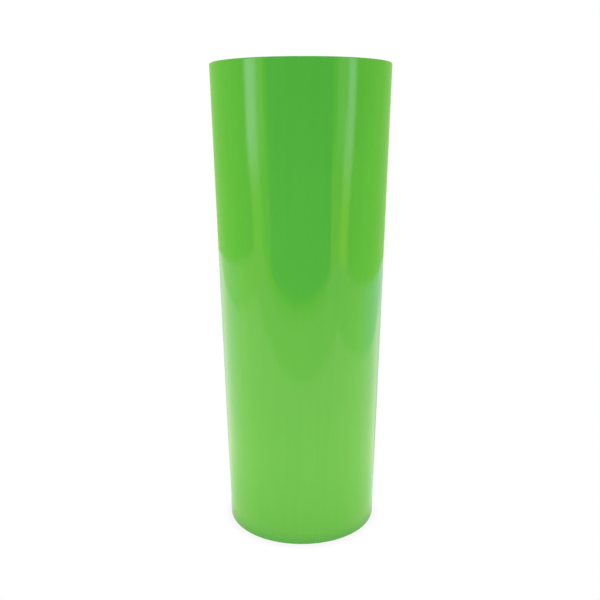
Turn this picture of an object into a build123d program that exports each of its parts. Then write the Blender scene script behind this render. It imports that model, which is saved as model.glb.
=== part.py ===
from build123d import *
import math
import os

# A tall drinking tumbler with a straight, slightly tapered side, injection-moulded in one piece
# from rigid plastic. The origin is the centre of the foot, on the surface that the tumbler stands
# on, and +Z points up to the open mouth. Lengths are in millimetres.

# Driving dimensions: the outside
HEIGHT = 160.0
MOUTH_DIAMETER = 60.2
FOOT_DIAMETER = 52.4  # where the side would meet the table, without its rounded edge

# Driving dimensions: the plastic
RIM_WALL = 1.4
LOWER_WALL = 1.9  # the wall thickens downwards, which gives the core its draft
FLOOR_HEIGHT = 3.7  # top of the floor above the table
RECESS_DEPTH = 1.5  # how far the underside is set in, so that only a ring touches the table
FOOT_RING_WIDTH = 2.6
RECESS_DRAFT = 0.3  # how much narrower the recess is at its roof than at the table

# Gate mark in the middle of the underside: a shallow dimple with the trimmed sprue inside it
DIMPLE_DIAMETER = 9.0
DIMPLE_DEPTH = 0.5
DIMPLE_SLOPE = 0.9
SPRUE_DIAMETER = 2.2
SPRUE_HEIGHT = 0.4
SPRUE_DRAFT = 0.2

# Rounded edges
RIM_RADIUS = 0.45  # both edges of the rim, with a narrow flat between them
FLOOR_CORNER_RADIUS = 4.0
FOOT_EDGE_RADIUS = 0.9
RING_EDGE_RADIUS = 0.5
RECESS_CORNER_RADIUS = 0.6
DIMPLE_EDGE_RADIUS = 0.3
SPRUE_EDGE_RADIUS = 0.15


def cup_outline():
    """Half of the tumbler's section, as (radius, height) corners from the drink side of the floor,
    over the rim and back to the axis underneath, each with the radius that rounds it."""
    mouth_radius = MOUTH_DIAMETER / 2
    foot_radius = FOOT_DIAMETER / 2
    ring_inside = foot_radius - FOOT_RING_WIDTH
    recess_roof_radius = ring_inside - RECESS_DRAFT
    dimple_radius = DIMPLE_DIAMETER / 2
    dimple_roof = RECESS_DEPTH + DIMPLE_DEPTH
    sprue_radius = SPRUE_DIAMETER / 2
    sprue_end = dimple_roof - SPRUE_HEIGHT
    return [
        ((0, FLOOR_HEIGHT), None),
        ((foot_radius - LOWER_WALL, FLOOR_HEIGHT), FLOOR_CORNER_RADIUS),
        ((mouth_radius - RIM_WALL, HEIGHT), RIM_RADIUS),
        ((mouth_radius, HEIGHT), RIM_RADIUS),
        ((foot_radius, 0), FOOT_EDGE_RADIUS),
        ((ring_inside, 0), RING_EDGE_RADIUS),
        ((recess_roof_radius, RECESS_DEPTH), RECESS_CORNER_RADIUS),
        ((dimple_radius, RECESS_DEPTH), DIMPLE_EDGE_RADIUS),
        ((dimple_radius - DIMPLE_SLOPE, dimple_roof), DIMPLE_EDGE_RADIUS),
        ((sprue_radius, dimple_roof), SPRUE_EDGE_RADIUS),
        ((sprue_radius - SPRUE_DRAFT, sprue_end), SPRUE_EDGE_RADIUS),
        ((0, sprue_end), None),
    ]


def make_cup():
    """The whole tumbler: its half section turned about the upright axis."""
    outline = cup_outline()
    corners = [corner for corner, _ in outline]
    radii = [radius for _, radius in outline if radius is not None]
    with BuildPart() as cup:
        with BuildSketch(Plane.XZ):
            with BuildLine():
                FilletPolyline(*corners, radius=radii)
                Line(corners[-1], corners[0])
            make_face()
        revolve(axis=Axis.Z)
    return cup.part


def print_summary(cup):
    """The sizes that a person would check against a real tumbler."""
    top_radius = MOUTH_DIAMETER / 2 - RIM_WALL
    floor_radius = FOOT_DIAMETER / 2 - LOWER_WALL
    mean_square = (top_radius**2 + top_radius * floor_radius + floor_radius**2) / 3
    brimful_ml = math.pi * mean_square * (HEIGHT - FLOOR_HEIGHT) / 1000
    draft = math.degrees(math.atan((MOUTH_DIAMETER - FOOT_DIAMETER) / 2 / HEIGHT))
    print(f"draft of the side {draft:.2f} degrees, plastic {cup.volume / 1000:.1f} cm3")
    print(f"holds about {brimful_ml:.0f} ml to the brim")


os.makedirs("parts", exist_ok=True)
cup = make_cup()
export_step(cup, "parts/cup.step")
print_summary(cup)
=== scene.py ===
"""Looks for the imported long-drink tumbler: one smooth moulded cup in glossy green plastic,
on a white floor inside a soft light tent. Lengths are in metres, in the row's frame."""

import math

import bmesh
import bpy
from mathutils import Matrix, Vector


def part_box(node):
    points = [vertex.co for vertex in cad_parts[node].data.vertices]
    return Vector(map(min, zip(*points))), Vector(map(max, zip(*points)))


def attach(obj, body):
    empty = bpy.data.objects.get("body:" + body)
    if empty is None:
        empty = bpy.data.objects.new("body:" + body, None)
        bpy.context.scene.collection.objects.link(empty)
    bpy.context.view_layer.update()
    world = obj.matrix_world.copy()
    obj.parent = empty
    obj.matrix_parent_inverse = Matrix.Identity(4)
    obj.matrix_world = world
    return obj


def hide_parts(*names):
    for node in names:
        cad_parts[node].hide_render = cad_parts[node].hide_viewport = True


MM = 0.001

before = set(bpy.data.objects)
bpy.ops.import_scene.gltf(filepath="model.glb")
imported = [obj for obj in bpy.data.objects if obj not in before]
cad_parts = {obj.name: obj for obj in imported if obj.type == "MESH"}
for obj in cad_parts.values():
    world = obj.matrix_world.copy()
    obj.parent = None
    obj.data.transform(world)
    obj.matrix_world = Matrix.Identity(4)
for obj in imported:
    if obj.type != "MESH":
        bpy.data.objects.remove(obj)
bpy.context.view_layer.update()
cup_low, cup_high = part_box("cup")

# ---------------------------------------------------------------- sizes of the cup
# The height and the mouth come from the frame. The others are the CAD solid's own sizes.
HEIGHT = cup_high.z - cup_low.z
MOUTH_RADIUS = (cup_high.x - cup_low.x) / 2
FOOT_RADIUS = 26.2 * MM  # where the side would meet the table, without its rounded edge
RIM_WALL = 1.4 * MM
LOWER_WALL = 1.9 * MM
FLOOR_HEIGHT = 3.7 * MM  # top of the cup's floor above the table
FOOT_RING_WIDTH = 2.6 * MM
RING_INSIDE = FOOT_RADIUS - FOOT_RING_WIDTH
RECESS_DEPTH = 1.5 * MM
RECESS_DRAFT = 0.3 * MM
DIMPLE_RADIUS = 4.5 * MM
DIMPLE_DEPTH = 0.5 * MM
DIMPLE_SLOPE = 0.9 * MM
SPRUE_RADIUS = 1.1 * MM
SPRUE_HEIGHT = 0.4 * MM
SPRUE_DRAFT = 0.2 * MM

# Radii of its rounded edges
FLOOR_CORNER_RADIUS = 4 * MM
RIM_EDGE_RADIUS = 0.45 * MM
FOOT_EDGE_RADIUS = 0.9 * MM
RING_EDGE_RADIUS = 0.5 * MM
RECESS_CORNER_RADIUS = 0.6 * MM
DIMPLE_EDGE_RADIUS = 0.3 * MM
SPRUE_EDGE_RADIUS = 0.15 * MM

# Fineness of its mesh
SEGMENTS = 256  # around the axis
ARC_STEP = math.radians(7)  # along a rounded edge
LONGEST_STEP = 4 * MM  # along a straight run of the section


def cup_section():
    """The half section's corners as (radius, height, rounding), from the drink side of the
    floor, over the rim and down to the axis underneath."""
    recess_roof_radius = RING_INSIDE - RECESS_DRAFT
    dimple_roof = RECESS_DEPTH + DIMPLE_DEPTH
    sprue_end = dimple_roof - SPRUE_HEIGHT
    return [
        (0, FLOOR_HEIGHT, 0),
        (FOOT_RADIUS - LOWER_WALL, FLOOR_HEIGHT, FLOOR_CORNER_RADIUS),
        (MOUTH_RADIUS - RIM_WALL, HEIGHT, RIM_EDGE_RADIUS),
        (MOUTH_RADIUS, HEIGHT, RIM_EDGE_RADIUS),
        (FOOT_RADIUS, 0, FOOT_EDGE_RADIUS),
        (RING_INSIDE, 0, RING_EDGE_RADIUS),
        (recess_roof_radius, RECESS_DEPTH, RECESS_CORNER_RADIUS),
        (DIMPLE_RADIUS, RECESS_DEPTH, DIMPLE_EDGE_RADIUS),
        (DIMPLE_RADIUS - DIMPLE_SLOPE, dimple_roof, DIMPLE_EDGE_RADIUS),
        (SPRUE_RADIUS, dimple_roof, SPRUE_EDGE_RADIUS),
        (SPRUE_RADIUS - SPRUE_DRAFT, sprue_end, SPRUE_EDGE_RADIUS),
        (0, sprue_end, 0),
    ]


# ---------------------------------------------------------------- turned meshes
def unit(x, y):
    """(x, y) at length one."""
    length = math.hypot(x, y)
    return x / length, y / length


def rounded_corner(before, corner, after, rounding):
    """Points and outward normals along the arc that rounds a corner of the section. The solid
    lies on the right of the direction of travel."""
    back_x, back_y = unit(before[0] - corner[0], before[1] - corner[1])
    ahead_x, ahead_y = unit(after[0] - corner[0], after[1] - corner[1])
    cosine = back_x * ahead_x + back_y * ahead_y
    turn = math.pi - math.acos(max(-1.0, min(1.0, cosine)))
    cut = rounding * math.tan(turn / 2)  # from the corner to where the arc starts
    middle_x, middle_y = unit(back_x + ahead_x, back_y + ahead_y)
    centre_distance = math.hypot(rounding, cut)
    centre_x = corner[0] + middle_x * centre_distance
    centre_y = corner[1] + middle_y * centre_distance
    start = math.atan2(corner[1] + back_y * cut - centre_y, corner[0] + back_x * cut - centre_x)
    left_turn = ahead_x * back_y - ahead_y * back_x > 0
    sweep = turn if left_turn else -turn
    outward = -1 if left_turn else 1
    steps = max(2, math.ceil(turn / ARC_STEP))
    points = []
    for i in range(steps + 1):
        angle = start + sweep * i / steps
        x, y = math.cos(angle), math.sin(angle)
        place = (centre_x + x * rounding, centre_y + y * rounding)
        points.append((*place, x * outward, y * outward))
    return points


def straight_run(start, end):
    """Points between two points of the section, with the normal of the first."""
    length = math.hypot(end[0] - start[0], end[1] - start[1])
    steps = max(1, math.ceil(length / LONGEST_STEP))
    points = []
    for i in range(1, steps):
        part = i / steps
        radius = start[0] + (end[0] - start[0]) * part
        height = start[1] + (end[1] - start[1]) * part
        points.append((radius, height, *start[2:]))
    return points


def outline_with_normals(section):
    """The section as closely spaced (radius, height, normal_r, normal_z) points."""
    arcs = []
    for before, corner, after in zip(section, section[1:], section[2:]):
        arcs.append(rounded_corner(before, corner, after, corner[2]))
    first_normal = arcs[0][0][2:]
    last_normal = arcs[-1][-1][2:]
    points = [(*section[0][:2], *first_normal)]
    for run in (*arcs, [(*section[-1][:2], *last_normal)]):
        points.extend(straight_run(points[-1], run[0]))
        points.extend(run)
    return points


def turned_mesh(name, outline):
    """A mesh of the outline turned about Z, with smooth shading that follows the true surface.
    The outline starts and ends on the axis."""
    bm = bmesh.new()
    rings = []
    normals = []
    for radius, height, normal_r, normal_z in outline:
        if radius == 0:
            rings.append([bm.verts.new((0, 0, height))])
            normals.append((0, 0, math.copysign(1, normal_z)))
            continue
        ring = []
        for i in range(SEGMENTS):
            angle = 2 * math.pi * i / SEGMENTS
            x, y = math.cos(angle), math.sin(angle)
            ring.append(bm.verts.new((radius * x, radius * y, height)))
            normals.append((normal_r * x, normal_r * y, normal_z))
        rings.append(ring)
    for ring, following in zip(rings, rings[1:]):
        for i in range(SEGMENTS):
            j = (i + 1) % SEGMENTS
            if len(ring) == 1:
                bm.faces.new((ring[0], following[i], following[j]))
            elif len(following) == 1:
                bm.faces.new((ring[j], ring[i], following[0]))
            else:
                bm.faces.new((ring[j], ring[i], following[i], following[j]))
    for face in bm.faces:
        face.smooth = True
    mesh = bpy.data.meshes.new(name)
    bm.to_mesh(mesh)
    bm.free()
    mesh.normals_split_custom_set_from_vertices(normals)
    obj = bpy.data.objects.new(name, mesh)
    bpy.context.scene.collection.objects.link(obj)
    return obj


# ---------------------------------------------------------------- node helpers
class Nodes:
    """Short calls for building one material's node tree."""

    def __init__(self, name):
        self.material = bpy.data.materials.new(name)
        self.material.use_nodes = True
        self.tree = self.material.node_tree
        self.tree.nodes.clear()

    def add(self, kind, inputs=(), **settings):
        """A node of that kind. inputs are (socket, value or output socket) pairs."""
        node = self.tree.nodes.new(kind)
        for key, value in settings.items():
            setattr(node, key, value)
        for socket, value in inputs:
            if isinstance(value, bpy.types.NodeSocket):
                self.tree.links.new(value, node.inputs[socket])
            else:
                node.inputs[socket].default_value = value
        return node

    def math(self, operation, a, b=0.0):
        """The result of a mathematical operation on one or two values."""
        return self.add("ShaderNodeMath", [(0, a), (1, b)], operation=operation).outputs[0]

    def plus(self, a, b):
        """a plus b."""
        return self.math("ADD", a, b)

    def times(self, a, b):
        """a times b, which for two masks is the mask of both."""
        return self.math("MULTIPLY", a, b)

    def step(self, value, low, high, to_low=0.0, to_high=1.0):
        """A smooth step from to_low, where value is low, to to_high, where it is high."""
        pairs = [("Value", value), ("From Min", low), ("From Max", high),
                 ("To Min", to_low), ("To Max", to_high)]
        return self.add("ShaderNodeMapRange", pairs, interpolation_type="SMOOTHSTEP").outputs[0]

    def stripe(self, value, centre, core, outside):
        """1 within core of the centre, falling to 0 at outside from it."""
        return self.step(self.math("ABSOLUTE", self.math("SUBTRACT", value, centre)), outside, core)

    def noise(self, vector, scale, detail=2.0, roughness=0.5):
        """Smooth noise from 0 to 1, of about that many waves per metre."""
        pairs = [("Vector", vector), ("Scale", scale), ("Detail", detail), ("Roughness", roughness)]
        return self.add("ShaderNodeTexNoise", pairs).outputs["Fac"]

    def stretched(self, vector, scale):
        """The vector, scaled along each axis."""
        return self.add("ShaderNodeMapping", [("Vector", vector), ("Scale", scale)]).outputs[0]

    def mix(self, factor, a, b, blend="MIX"):
        """Colour a where factor is 0 and b where it is 1, or with ADD, a plus factor times b."""
        node = self.add("ShaderNodeMix", data_type="RGBA", blend_type=blend)
        sockets = [s for s in node.inputs if s.enabled]
        for socket, value in zip(sockets, (factor, a, b)):
            if isinstance(value, bpy.types.NodeSocket):
                self.tree.links.new(value, socket)
            elif isinstance(value, tuple):
                socket.default_value = (*value, 1.0)
            else:
                socket.default_value = value
        return next(s for s in node.outputs if s.enabled)

    def layered(self, base, layers):
        """The base colour plus each (factor, colour) of the layers."""
        for factor, colour in layers:
            base = self.mix(factor, base, colour, "ADD")
        return base

    def reach(self, x, y):
        """The distance from the cup's axis."""
        return self.math("SQRT", self.plus(self.times(x, x), self.times(y, y)))

    def bearing(self, x, y):
        """The direction from the cup's axis in degrees: 0 is in front, and right is positive."""
        return self.times(self.math("ARCTAN2", x, self.times(y, -1.0)), math.degrees(1))

    def place(self):
        """Object coordinates in metres, and their x, y and z."""
        vector = self.add("ShaderNodeTexCoord").outputs["Object"]
        parts = self.add("ShaderNodeSeparateXYZ", [(0, vector)]).outputs
        return vector, parts[0], parts[1], parts[2]

    def output(self, shader):
        """The finished material, with that shader as its surface."""
        self.add("ShaderNodeOutputMaterial", [("Surface", shader)])
        return self.material


# ---------------------------------------------------------------- the cup's plastic
# Its colour is nearly even: faint clouds, and fine streaks where it flowed up the mould.
DARKER_GREEN = (0.101, 0.510, 0.058)
LIGHTER_GREEN = (0.109, 0.530, 0.062)
CLOUD_WAVES = 28.0  # waves per metre, here and below
STREAK_WAVES = 420.0
STREAK_STRETCH = (1.0, 1.0, 0.06)  # the streaks are long and upright
NOISE_MIDDLE = (0.3, 0.7)  # the part of the noise's range that is used
ROUGHNESS = (0.065, 0.09)
REFRACTIVE_INDEX = 1.59  # of polystyrene
PEEL_WAVES = 700.0  # a trace of orange peel
PEEL_STRENGTH = 0.05
PEEL_HEIGHT = 0.1 * MM

# The foot ring is scuffed, and the recess under the foot is matt.
SCUFF_WAVES = 2600.0
SCUFF_ROUGHNESS = 0.5
SCUFF_HEIGHT = 0.8 * MM  # the scuffs fade out up to here
RECESS_ROUGHNESS = 0.2
RECESS_MARGIN = 0.2 * MM  # on each side of the foot ring's inside edge
RECESS_TOP = (3.0 * MM, 3.4 * MM)  # the matt finish ends between these, inside the cup's floor


def cup_plastic():
    """Glossy moulded polystyrene, coloured right through."""
    n = Nodes("cup_plastic")
    vector, x, y, z = n.place()

    cloud = n.noise(vector, CLOUD_WAVES)
    streak = n.noise(n.stretched(vector, STREAK_STRETCH), STREAK_WAVES, detail=3.0, roughness=0.6)
    shade = n.plus(n.times(cloud, 0.5), n.times(streak, 0.5))
    green = n.mix(n.step(shade, *NOISE_MIDDLE), DARKER_GREEN, LIGHTER_GREEN)

    scuffs = n.noise(vector, SCUFF_WAVES, detail=4.0, roughness=0.7)
    scuffed = n.times(n.step(z, SCUFF_HEIGHT, 0.0), n.times(scuffs, SCUFF_ROUGHNESS))
    below = n.step(z, RECESS_TOP[1], RECESS_TOP[0])
    inside_ring = n.step(n.reach(x, y), RING_INSIDE + RECESS_MARGIN, RING_INSIDE - RECESS_MARGIN)
    matt = n.times(n.times(below, inside_ring), RECESS_ROUGHNESS)
    rough = n.plus(n.plus(n.step(cloud, *NOISE_MIDDLE, *ROUGHNESS), scuffed), matt)

    bump = n.add("ShaderNodeBump", [
        ("Strength", PEEL_STRENGTH), ("Distance", PEEL_HEIGHT), ("Height", n.noise(vector, PEEL_WAVES)),
    ])
    shader = n.add("ShaderNodeBsdfPrincipled", [
        ("Base Color", green), ("Roughness", rough), ("IOR", REFRACTIVE_INDEX),
        ("Normal", bump.outputs[0]),
    ])
    return n.output(shader.outputs[0])


def make_cup():
    """The whole tumbler, which is one moulding."""
    cup = turned_mesh("cup_moulding", outline_with_normals(cup_section()))
    cup.data.materials.append(cup_plastic())
    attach(cup, "root")
    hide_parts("cup")


# ---------------------------------------------------------------- the light tent
# A cloth tent stands around the cup. It is open at the front, where the camera looks in, with a
# lamp shining through the cloth on each side of the opening and a soft lamp overhead. A sheet of
# white paper lies on its floor. The reflection of all this gives the glossy cup its stripes and
# its paler lower half. Lights are linear colours. Bearings are degrees from straight in front,
# with the right side positive. A pair is where one light ends and where the next is complete.
TENT_LEFT = -0.485
TENT_RIGHT = 0.392
TENT_FRONT = -0.33
TENT_BACK = 0.62
TENT_TOP = 0.60
CORNER_LEFT = 0.12  # radii of the front corners
CORNER_RIGHT = 0.10
CURVE_LEFT = 0.0  # where each straight side goes over into the curved back
CURVE_RIGHT = 0.06
ARC_STEPS = 12  # along each curved stretch of the cloth
OPENING_LEFT = -0.280
OPENING_RIGHT = 0.262
FLOOR_LEVEL = -0.0001  # of the white floor, and the tent's own floor is as far again below it
SOFT_EDGE = 0.01  # half the width of the edge between two lights
ROOM_LIGHT = (0.15, 0.30, 0.30)  # from the dim room behind the camera

# The cloth
SIDE_LIGHT = (0.55, 0.70, 0.20)
BACK_LIGHT = (0.55, 0.75, 0.30)
FRONT_LEFT_LOW = (0.70, 1.00, 0.20)
FRONT_LEFT_HIGH = (0.45, 0.80, 0.10)
FRONT_RIGHT_LOW = (0.95, 1.15, 0.25)
FRONT_RIGHT_HIGH = (0.40, 0.90, 0.20)
FRONT_HEIGHTS = (0.03, 0.15)
FRONT_END_LEFT = (-50.0, -55.0)
FRONT_END_RIGHT = (47.0, 52.0)
BACK_START = (120.0, 130.0)

# The lamp on each side: its light and its bearing change from its lower to its upper end, and
# its widths are its core's and its glow's, in degrees from its middle
LAMP_LEFT_LOW = (0.65, 0.90, 0.10)
LAMP_LEFT_HIGH = (2.05, 2.00, 2.35)
LAMP_LEFT_BEARINGS = (-57.5, -63.5)
LAMP_LEFT_LEAN = (0.03, 0.12)  # heights between which the bearing changes
LAMP_LEFT_WIDTHS = (3.0, 11.0)
LAMP_RIGHT_LOW = (1.20, 1.15, 0.15)
LAMP_RIGHT_HIGH = (1.50, 1.70, 1.90)
LAMP_RIGHT_BEARINGS = (55.5, 63.5)
LAMP_RIGHT_LEAN = (0.0, 0.16)
LAMP_RIGHT_WIDTHS = (1.5, 9.5)
LAMP_HEIGHTS = (0.04, 0.13)

# The light that spills from each lamp towards the opening
SPILL_LEFT = (0.75, 0.80, 0.50)
SPILL_LEFT_BEARING = -51.5
SPILL_RIGHT = (0.60, 0.70, 0.40)
SPILL_RIGHT_BEARING = 50.5
SPILL_WIDTHS = (3.0, 8.5)
SPILL_HEIGHTS = (0.06, 0.12)

# The ceiling
CEILING_LIGHT = (0.80, 0.80, 0.80)
TOP_LAMP = (2.00, 2.00, 2.00)
TOP_LAMP_RADIUS = 0.14

# The paper: the camera and its stand dim it in front, and it fades towards the tent's front
FAR_DEPTHS = (-0.05, 0.10)  # the near lights go over into the far ones between these
PAPER_NEAR = (1.65, 1.45, 0.95)
PAPER_FAR = (1.50, 1.30, 1.30)
PAPER_LEFT = -0.321
PAPER_RIGHT = 0.209
PAPER_EDGE = 0.009  # half the width of its soft edge
PAPER_DIMMED = (1.20, 1.20, 0.65)
PAPER_DIM = -0.175  # it is dimmed in front of here
PAPER_FADED = (0.55, 0.80, 0.00)
PAPER_FADE = (-0.26, -0.35)

# The cup's shadow behind it, which the stronger left lamp turns a little to the right
SHADOW_LIGHT = (0.45, 0.65, 0.60)
SHADOW_LEAN = 0.04  # how far it moves to the right per length backwards
SHADOW_WIDENING = (0.85, 0.10)  # of its outer edge and of its core, per length backwards
SHADOW_START = (0.0, 0.03)

# The shade all round the cup's foot, and the darker ring where the foot meets the paper
SHADED_NEAR = (1.20, 1.10, 0.70)
SHADED_FAR = (0.95, 1.10, 0.95)
SHADED_RADIUS = 0.085
FAR_BEARINGS = (70.0, 110.0)  # to either side
CONTACT_SHADE = (0.80, 0.65, 0.75)
CONTACT_WIDTH = 7 * MM

# The bare floor on both sides of the paper
FLOOR_LEFT_NEAR = (1.25, 1.20, 0.50)
FLOOR_LEFT_FAR = (1.10, 1.05, 0.80)
FLOOR_RIGHT_NEAR = (1.15, 1.05, 0.65)
FLOOR_RIGHT_FAR = (0.90, 1.00, 1.05)


def arc(centre, radii, start, end):
    """Points along an ellipse's arc. The angles are in degrees."""
    points = []
    for i in range(ARC_STEPS + 1):
        angle = math.radians(start + (end - start) * i / ARC_STEPS)
        x = centre[0] + radii[0] * math.cos(angle)
        y = centre[1] + radii[1] * math.sin(angle)
        points.append((x, y))
    return points


def tent_outline():
    """The tent's plan, from the left edge of its opening round the back to the right edge."""
    middle = (TENT_LEFT + TENT_RIGHT) / 2
    half = (TENT_RIGHT - TENT_LEFT) / 2
    corner_left = (TENT_LEFT + CORNER_LEFT, TENT_FRONT + CORNER_LEFT)
    corner_right = (TENT_RIGHT - CORNER_RIGHT, TENT_FRONT + CORNER_RIGHT)
    return [
        (OPENING_LEFT, TENT_FRONT),
        *arc(corner_left, (CORNER_LEFT, CORNER_LEFT), -90, -180),
        *arc((middle, CURVE_LEFT), (half, TENT_BACK - CURVE_LEFT), 180, 90)[:-1],
        *arc((middle, CURVE_RIGHT), (half, TENT_BACK - CURVE_RIGHT), 90, 0),
        *arc(corner_right, (CORNER_RIGHT, CORNER_RIGHT), 0, -90),
        (OPENING_RIGHT, TENT_FRONT),
    ]


def stage_mesh(name, corners, faces):
    """A mesh that is part of the set, not of the object."""
    mesh = bpy.data.meshes.new(name)
    mesh.from_pydata(corners, [], faces)
    obj = bpy.data.objects.new(name, mesh)
    bpy.context.scene.collection.objects.link(obj)
    return obj


def light_panel(name, corners, faces, colour):
    """A part of the tent, which lights the cup and is reflected in it, and which the camera
    looks through. colour makes its light with a Nodes helper."""
    panel = stage_mesh(name, corners, faces)
    panel.visible_camera = False
    n = Nodes(name)
    glow = n.add("ShaderNodeEmission", [("Color", colour(n))]).outputs[0]
    panel.data.materials.append(n.output(glow))


def cloth_colour(n):
    """The cloth: plain at the sides and the back, and in front a lamp and its spill per side."""
    _, x, y, z = n.place()
    angle = n.bearing(x, y)
    left = n.step(x, SOFT_EDGE, -SOFT_EDGE)
    front_low = n.mix(left, FRONT_RIGHT_LOW, FRONT_LEFT_LOW)
    front_high = n.mix(left, FRONT_RIGHT_HIGH, FRONT_LEFT_HIGH)
    front = n.mix(n.step(z, *FRONT_HEIGHTS), front_low, front_high)
    back = n.step(n.math("ABSOLUTE", angle), *BACK_START)
    beyond_front = n.plus(n.step(angle, *FRONT_END_LEFT), n.step(angle, *FRONT_END_RIGHT))
    cloth = n.mix(beyond_front, front, n.mix(back, SIDE_LIGHT, BACK_LIGHT))

    high = n.step(z, *LAMP_HEIGHTS)
    low = n.step(z, *reversed(LAMP_HEIGHTS))
    centre_left = n.step(z, *LAMP_LEFT_LEAN, *LAMP_LEFT_BEARINGS)
    centre_right = n.step(z, *LAMP_RIGHT_LEAN, *LAMP_RIGHT_BEARINGS)
    lamp_left = n.stripe(angle, centre_left, *LAMP_LEFT_WIDTHS)
    lamp_right = n.stripe(angle, centre_right, *LAMP_RIGHT_WIDTHS)
    spill_height = n.step(z, *SPILL_HEIGHTS)
    spill_left = n.stripe(angle, SPILL_LEFT_BEARING, *SPILL_WIDTHS)
    spill_right = n.stripe(angle, SPILL_RIGHT_BEARING, *SPILL_WIDTHS)
    return n.layered(cloth, [
        (n.times(lamp_left, low), LAMP_LEFT_LOW),
        (n.times(lamp_left, high), LAMP_LEFT_HIGH),
        (n.times(lamp_right, low), LAMP_RIGHT_LOW),
        (n.times(lamp_right, high), LAMP_RIGHT_HIGH),
        (n.times(spill_left, spill_height), SPILL_LEFT),
        (n.times(spill_right, spill_height), SPILL_RIGHT),
    ])


def ceiling_colour(n):
    """The ceiling, with the round lamp straight above the cup."""
    _, x, y, _ = n.place()
    lamp = n.step(n.reach(x, y), TOP_LAMP_RADIUS + SOFT_EDGE, TOP_LAMP_RADIUS - SOFT_EDGE)
    return n.mix(lamp, CEILING_LIGHT, TOP_LAMP)


def cup_shadow(n, x, y):
    """1 in the core of the shadow behind the cup, and 0 outside it. It starts as wide as the
    foot."""
    from_middle = n.math("ABSOLUTE", n.math("SUBTRACT", x, n.times(y, SHADOW_LEAN)))
    past_foot = n.math("SUBTRACT", from_middle, FOOT_RADIUS)
    depth = n.math("MAXIMUM", y, MM)  # never zero, because it divides
    wedge = n.step(n.math("DIVIDE", past_foot, depth), *SHADOW_WIDENING)
    return n.times(wedge, n.step(y, *SHADOW_START))


def floor_colour(n):
    """The paper, with the shades that the cup throws on it, and the bare floor on both sides."""
    _, x, y, _ = n.place()
    far = n.step(y, *FAR_DEPTHS)
    paper = n.mix(far, PAPER_NEAR, PAPER_FAR)
    paper = n.mix(n.step(y, PAPER_DIM + SOFT_EDGE, PAPER_DIM - SOFT_EDGE), paper, PAPER_DIMMED)
    paper = n.mix(n.step(y, *PAPER_FADE), paper, PAPER_FADED)
    paper = n.mix(cup_shadow(n, x, y), paper, SHADOW_LIGHT)

    behind = n.step(n.math("ABSOLUTE", n.bearing(x, y)), *FAR_BEARINGS)
    shaded = n.mix(behind, SHADED_NEAR, SHADED_FAR)
    reach = n.reach(x, y)
    paper = n.mix(n.step(reach, SHADED_RADIUS, FOOT_RADIUS), paper, shaded)
    paper = n.mix(n.step(reach, FOOT_RADIUS + CONTACT_WIDTH, FOOT_RADIUS), paper, CONTACT_SHADE)

    left = n.mix(far, FLOOR_LEFT_NEAR, FLOOR_LEFT_FAR)
    right = n.mix(far, FLOOR_RIGHT_NEAR, FLOOR_RIGHT_FAR)
    floor = n.mix(n.step(x, PAPER_LEFT + PAPER_EDGE, PAPER_LEFT - PAPER_EDGE), paper, left)
    return n.mix(n.step(x, PAPER_RIGHT - PAPER_EDGE, PAPER_RIGHT + PAPER_EDGE), floor, right)


def make_tent():
    """The tent's cloth, ceiling and floor, and a panel for the room's light in its opening."""
    outline = tent_outline()
    count = len(outline)
    low = [(x, y, 0) for x, y in outline]
    high = [(x, y, TENT_TOP) for x, y in outline]
    strips = [(i, i + 1, count + i + 1, count + i) for i in range(count - 1)]
    light_panel("tent_cloth", low + high, strips, cloth_colour)
    light_panel("tent_ceiling", high, [range(count)], ceiling_colour)
    below_backdrop = [(x, y, 2 * FLOOR_LEVEL) for x, y in outline]
    light_panel("tent_floor", below_backdrop, [range(count)], floor_colour)
    opening = [low[0], low[-1], high[-1], high[0]]
    light_panel("tent_opening", opening, [range(4)], lambda _: (*ROOM_LIGHT, 1.0))


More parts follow.
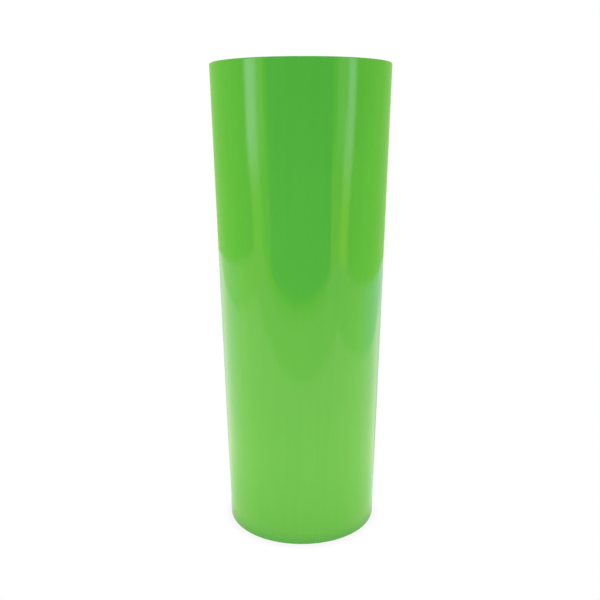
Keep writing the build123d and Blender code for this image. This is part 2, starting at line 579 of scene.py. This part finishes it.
# ---------------------------------------------------------------- what the camera sees around it
BACKDROP_REACH = 4.0  # half the side of the white floor
FOOT_SHADOW_RADIUS = 1.12 * FOOT_RADIUS
FOOT_SHADOW = 0.93  # the floor's brightness right at the foot
WHITE = (1.0, 1.0, 1.0, 1.0)


def make_backdrop():
    """A white floor that only the camera sees, and the white world behind it."""
    signs = ((-1, -1), (1, -1), (1, 1), (-1, 1))
    corners = [(x * BACKDROP_REACH, y * BACKDROP_REACH, FLOOR_LEVEL) for x, y in signs]
    floor = stage_mesh("floor", corners, [(0, 1, 2, 3)])
    n = Nodes("floor_white")
    _, x, y, _ = n.place()
    strength = n.step(n.reach(x, y), FOOT_RADIUS, FOOT_SHADOW_RADIUS, FOOT_SHADOW, 1.0)
    glow = n.add("ShaderNodeEmission", [("Strength", strength)]).outputs[0]
    floor.data.materials.append(n.output(glow))
    floor.visible_diffuse = False
    floor.visible_glossy = False
    floor.visible_shadow = False

    world = bpy.data.worlds.new("studio")
    world.use_nodes = True
    world.node_tree.nodes["Background"].inputs["Color"].default_value = WHITE
    bpy.context.scene.world = world


# ---------------------------------------------------------------- camera
CAMERA_DISTANCE = 1.6375 * HEIGHT  # from the cup's axis, level
CAMERA_HEIGHT = 0.8736 * HEIGHT
CAMERA_ASIDE = -0.0029 * HEIGHT
CAMERA_DOWN = math.radians(12.81)
CAMERA_ROLL = math.radians(-0.17)
SENSOR_WIDTH_MM = 36.0
LENS_MM = 45.67


def make_camera():
    """The camera in front of the cup, a little below its rim and looking down at it."""
    data = bpy.data.cameras.new("camera")
    data.sensor_width = SENSOR_WIDTH_MM
    data.lens = LENS_MM
    camera = bpy.data.objects.new("camera", data)
    bpy.context.scene.collection.objects.link(camera)
    camera.location = (CAMERA_ASIDE, -CAMERA_DISTANCE, CAMERA_HEIGHT)
    camera.rotation_mode = "XYZ"
    camera.rotation_euler = (math.pi / 2 - CAMERA_DOWN, 0.0, 0.0)
    camera.rotation_euler.rotate_axis("Z", CAMERA_ROLL)
    bpy.context.scene.camera = camera


make_cup()
make_tent()
make_backdrop()
make_camera()
bpy.context.scene.view_settings.view_transform = "Standard"
